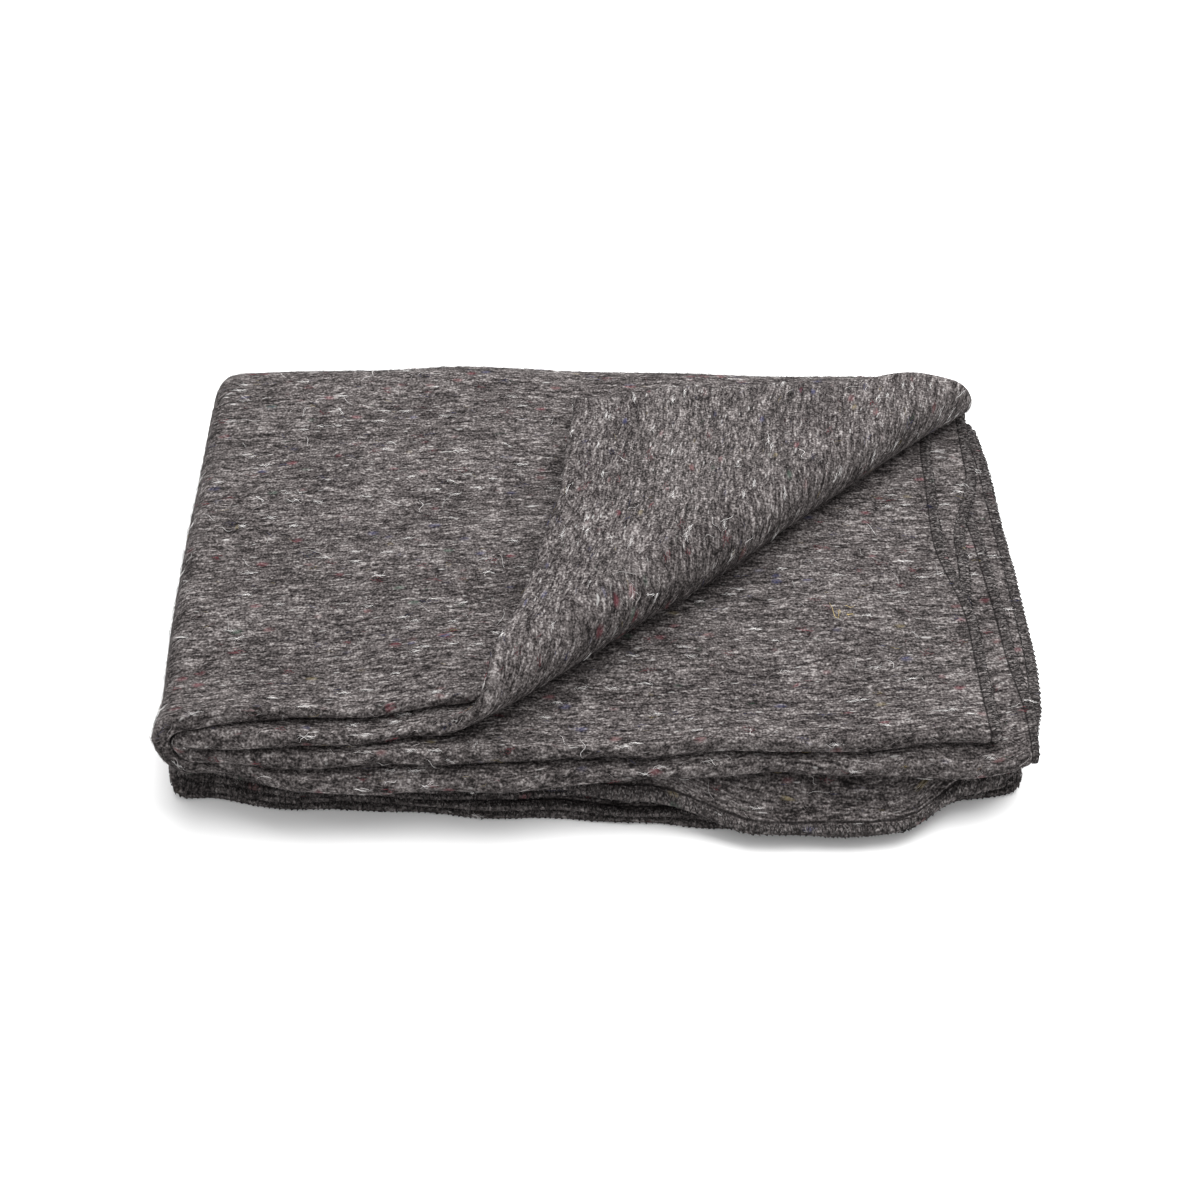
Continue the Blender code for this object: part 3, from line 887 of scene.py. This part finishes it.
# The streaks of fibre in the wool: how many in a metre along the cloth and across it, at which level of the
# noise they lie, its detail and roughness, and how large they are in what they add to
Streaks = namedtuple("Streaks", "along across level detail roughness size")
SWAY = Streaks(95.0, 105.0, 0.0, 1.0, 0.5, 0.0024)
FINE = Streaks(235.0, 850.0, 0.0, 1.0, 0.5, 0.95)
TUFTED = Streaks(88.0, 390.0, 3.0, 2.0, 0.55, 1.05)
CLUMPED = Streaks(42.0, 145.0, 7.0, 2.0, 0.6, 0.55)
CLOUDED = Streaks(14.0, 30.0, 9.0, 1.0, 0.5, 0.32)
PALE = Streaks(110.0, 480.0, 11.0, 1.0, 0.5, 0.42)
PALE_STEP = (0.69, 0.77)  # what of the noise is a pale fleck
PALE_COLOUR = (0.52, 0.51, 0.50, 1.0)
GRIT = 800.0  # the finest grain, in a metre
GRIT_SIZE = 1.25
# The wool's middle tone, and its colour at tones from 0 to 1
TONE = 0.53
WOOL = (
    (0.00, (0.0044, 0.0037, 0.0036)), (0.28, (0.0166, 0.0143, 0.0140)), (0.50, (0.053, 0.0466, 0.0458)),
    (0.72, (0.110, 0.0980, 0.0962)), (1.00, (0.27, 0.250, 0.245)),
)
# Dyed specks: the cells that hold one each, the share of cells that show it, how far from its middle it
# starts to fade and is gone, how fine streaks break it up, and how strong and of what colours it is
SPECK_CELLS = (110.0, 230.0, 5.0)
SPECK_CHANCE = 0.055
SPECK_FADE = (0.14, 0.54)
SPECK_BROKEN = (0.25, 0.55)
SPECK_SHARE = 0.50
DYES = (
    (0.0, (0.13, 0.030, 0.040)), (0.40, (0.036, 0.040, 0.105)), (0.62, (0.155, 0.072, 0.074)),
    (0.80, (0.048, 0.084, 0.062)), (0.90, (0.17, 0.138, 0.070)),
)
# Painted shade under the edging threads, and a painted shadow in the groove that the needle thread draws in
# the wool, at distances from a cut edge
EDGING_SHADE_FADE = (0.0044, 0.0056)
EDGING_SHADE_SHARE = 0.16
EDGING_SHADE_COLOUR = (0.012, 0.0105, 0.0105, 1.0)
# the painted shadow in the needle thread's groove: where it starts and ends, how strong it is and its colour
GROOVE_SHADOW_START = (0.0049, 0.0055)
GROOVE_SHADOW_END = (0.0060, 0.0068)
GROOVE_SHADOW_SHARE = 0.85
GROOVE_SHADOW_COLOUR = (0.006, 0.005, 0.005, 1.0)
BUMP_STRENGTH = 0.6
BUMP_HEIGHT = 0.0016
THREAD_GRAIN = 520.0
THREAD_COLOURS = (
    (0.38, (0.008, 0.007, 0.007)), (0.52, (0.034, 0.0305, 0.030)), (0.66, (0.15, 0.140, 0.137)),
)


def felted_wool():
    """Carded shoddy wool: streaks of mixed grey fibre along the cloth, pale flecks and dyed specks, with
    painted shade under the edging and a painted shadow in its needle groove.
    """
    finish = Finish("felted_grey_wool", Roughness=0.95, Specular_IOR_Level=0.10)
    cloth_map = finish.node("ShaderNodeUVMap", {"uv_map": "cloth"})
    u = finish.node("ShaderNodeSeparateXYZ", None, {0: cloth_map}, 0)
    v = finish.node("ShaderNodeSeparateXYZ", None, {0: cloth_map}, 1)
    swayed = v + finish.streaks(SWAY, u, v).swing(SWAY.size)
    grit = finish.grain(GRIT, 1.0)
    fine = finish.streaks(FINE, u, swayed)
    tufted = finish.streaks(TUFTED, u, swayed)
    clumped = finish.streaks(CLUMPED, u, swayed)
    clouded = finish.streaks(CLOUDED, u, v)
    tone = TONE + grit.swing(GRIT_SIZE) + fine.swing(FINE.size) + tufted.swing(TUFTED.size)
    tone = tone + clumped.swing(CLUMPED.size) + clouded.swing(CLOUDED.size)
    wool = finish.colour(tone, WOOL)
    pale = finish.smooth(finish.streaks(PALE, u, swayed), *PALE_STEP)
    wool = finish.mix(pale * PALE.size, wool, PALE_COLOUR)
    speck, dye = dyed_specks(finish, u, swayed)
    speck = speck * finish.smooth(fine, *SPECK_BROKEN)
    wool = finish.mix(speck * SPECK_SHARE, wool, dye)
    edge = u.least(LENGTH - u).least(v).least(DEPTH - v)
    # painted shade: the wool is darker under the edging threads, near each cut edge
    edging = 1.0 - finish.smooth(edge, *EDGING_SHADE_FADE)
    wool = finish.mix(edging * EDGING_SHADE_SHARE, wool, EDGING_SHADE_COLOUR)
    # painted shadow: a dark line in the groove under the needle thread
    groove = finish.smooth(edge, *GROOVE_SHADOW_START) * (1.0 - finish.smooth(edge, *GROOVE_SHADOW_END))
    wool = finish.mix(groove * GROOVE_SHADOW_SHARE, wool, GROOVE_SHADOW_COLOUR)
    relief = fine * 0.5 + tufted * 0.5 + grit * 0.2
    bump = {"Strength": BUMP_STRENGTH, "Distance": BUMP_HEIGHT, "Height": relief}
    return finish.show(Base_Color=wool, Normal=finish.node("ShaderNodeBump", None, bump))


def dyed_specks(finish, u, v):
    """Where the dyed specks are, from 0 to 1, and of what colour each one is."""
    cells = finish.vector(u * SPECK_CELLS[0], v * SPECK_CELLS[1], SPECK_CELLS[2])
    sockets = {"Vector": cells, "Scale": 1.0}
    near = finish.node("ShaderNodeTexVoronoi", None, sockets, "Distance")
    draw = finish.node("ShaderNodeTexVoronoi", None, sockets, "Color")
    chance = finish.node("ShaderNodeSeparateColor", None, {0: draw}, 0)
    hue = finish.node("ShaderNodeSeparateColor", None, {0: draw}, 1)
    speck = (1.0 - finish.smooth(near, *SPECK_FADE)) * (chance < SPECK_CHANCE)
    return speck, finish.colour(hue, DYES, "CONSTANT")


def shaded_fibre():
    """Loose fibre, in the colour that each one carries."""
    finish = Finish("loose_fibre", Roughness=0.7, Specular_IOR_Level=0.15)
    shade = finish.node("ShaderNodeAttribute", {"attribute_name": "shade"}, None, "Color")
    return finish.show(Base_Color=shade)


def spun_thread():
    """Dark spun yarn with a few pale fibres."""
    finish = Finish("edging_thread", Roughness=0.85, Specular_IOR_Level=0.15)
    return finish.show(Base_Color=finish.colour(finish.grain(THREAD_GRAIN, 2.0), THREAD_COLOURS))


FLOOR_REACH = 6.0
FLOOR_WHITE = (0.9, 0.9, 0.9, 1.0)
SKY_STRENGTH = 0.90  # plain white light from all round
SOFTBOX_POWER = 60.0
SOFTBOX_SIDE = 1.9
SOFTBOX_PLACE = (0.36, 0.58, 1.42)
CAMERA_LENS = 54.8
CAMERA_PLACE = (-0.0162, -0.7768, 0.828)
CAMERA_TURN = (math.radians(43.5), 0.0, math.radians(-1.1))


def studio():
    """A plain white floor, a soft light from above and a camera in front, looking down."""
    bm = bmesh.new()
    bmesh.ops.create_grid(bm, x_segments=1, y_segments=1, size=FLOOR_REACH)
    white = Finish("white_table", Base_Color=FLOOR_WHITE, Roughness=0.9)
    floor = placed("studio_floor", bm, white.material)
    world = bpy.data.worlds.new("studio")
    world.use_nodes = True
    sky = world.node_tree.nodes["Background"]
    sky.inputs["Color"].default_value = (1.0, 1.0, 1.0, 1.0)
    sky.inputs["Strength"].default_value = SKY_STRENGTH
    bpy.context.scene.world = world
    bpy.context.scene.view_settings.view_transform = "Standard"
    data = bpy.data.lights.new("softbox", "AREA")
    data.energy = SOFTBOX_POWER
    data.size = SOFTBOX_SIDE
    light = bpy.data.objects.new("softbox", data)
    light.location = SOFTBOX_PLACE
    light.rotation_euler = (Vector((0, 0, 0)) - light.location).to_track_quat("-Z", "Y").to_euler()
    bpy.context.scene.collection.objects.link(light)
    view = bpy.data.cameras.new("front_above")
    view.lens = CAMERA_LENS
    camera = bpy.data.objects.new("front_above", view)
    camera.location = CAMERA_PLACE
    camera.rotation_euler = CAMERA_TURN
    bpy.context.scene.collection.objects.link(camera)
    bpy.context.scene.camera = camera


def dress():
    """The cloth, its edging and its loose fibre, all on the part's one body."""
    thread = spun_thread()
    cloth = cloth_piece(felted_wool())
    threads = [
        thread_piece("upper_looper_thread", LOOPER, 1, thread),
        thread_piece("lower_looper_thread", LOOPER, -1, thread),
        thread_piece("needle_thread", NEEDLE, 1, thread),
    ]
    fibres = loose_fibre(cloth, shaded_fibre())
    for piece in (cloth, *threads, *fibres):
        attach(piece, "root")
    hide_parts("blanket")


studio()
dress()
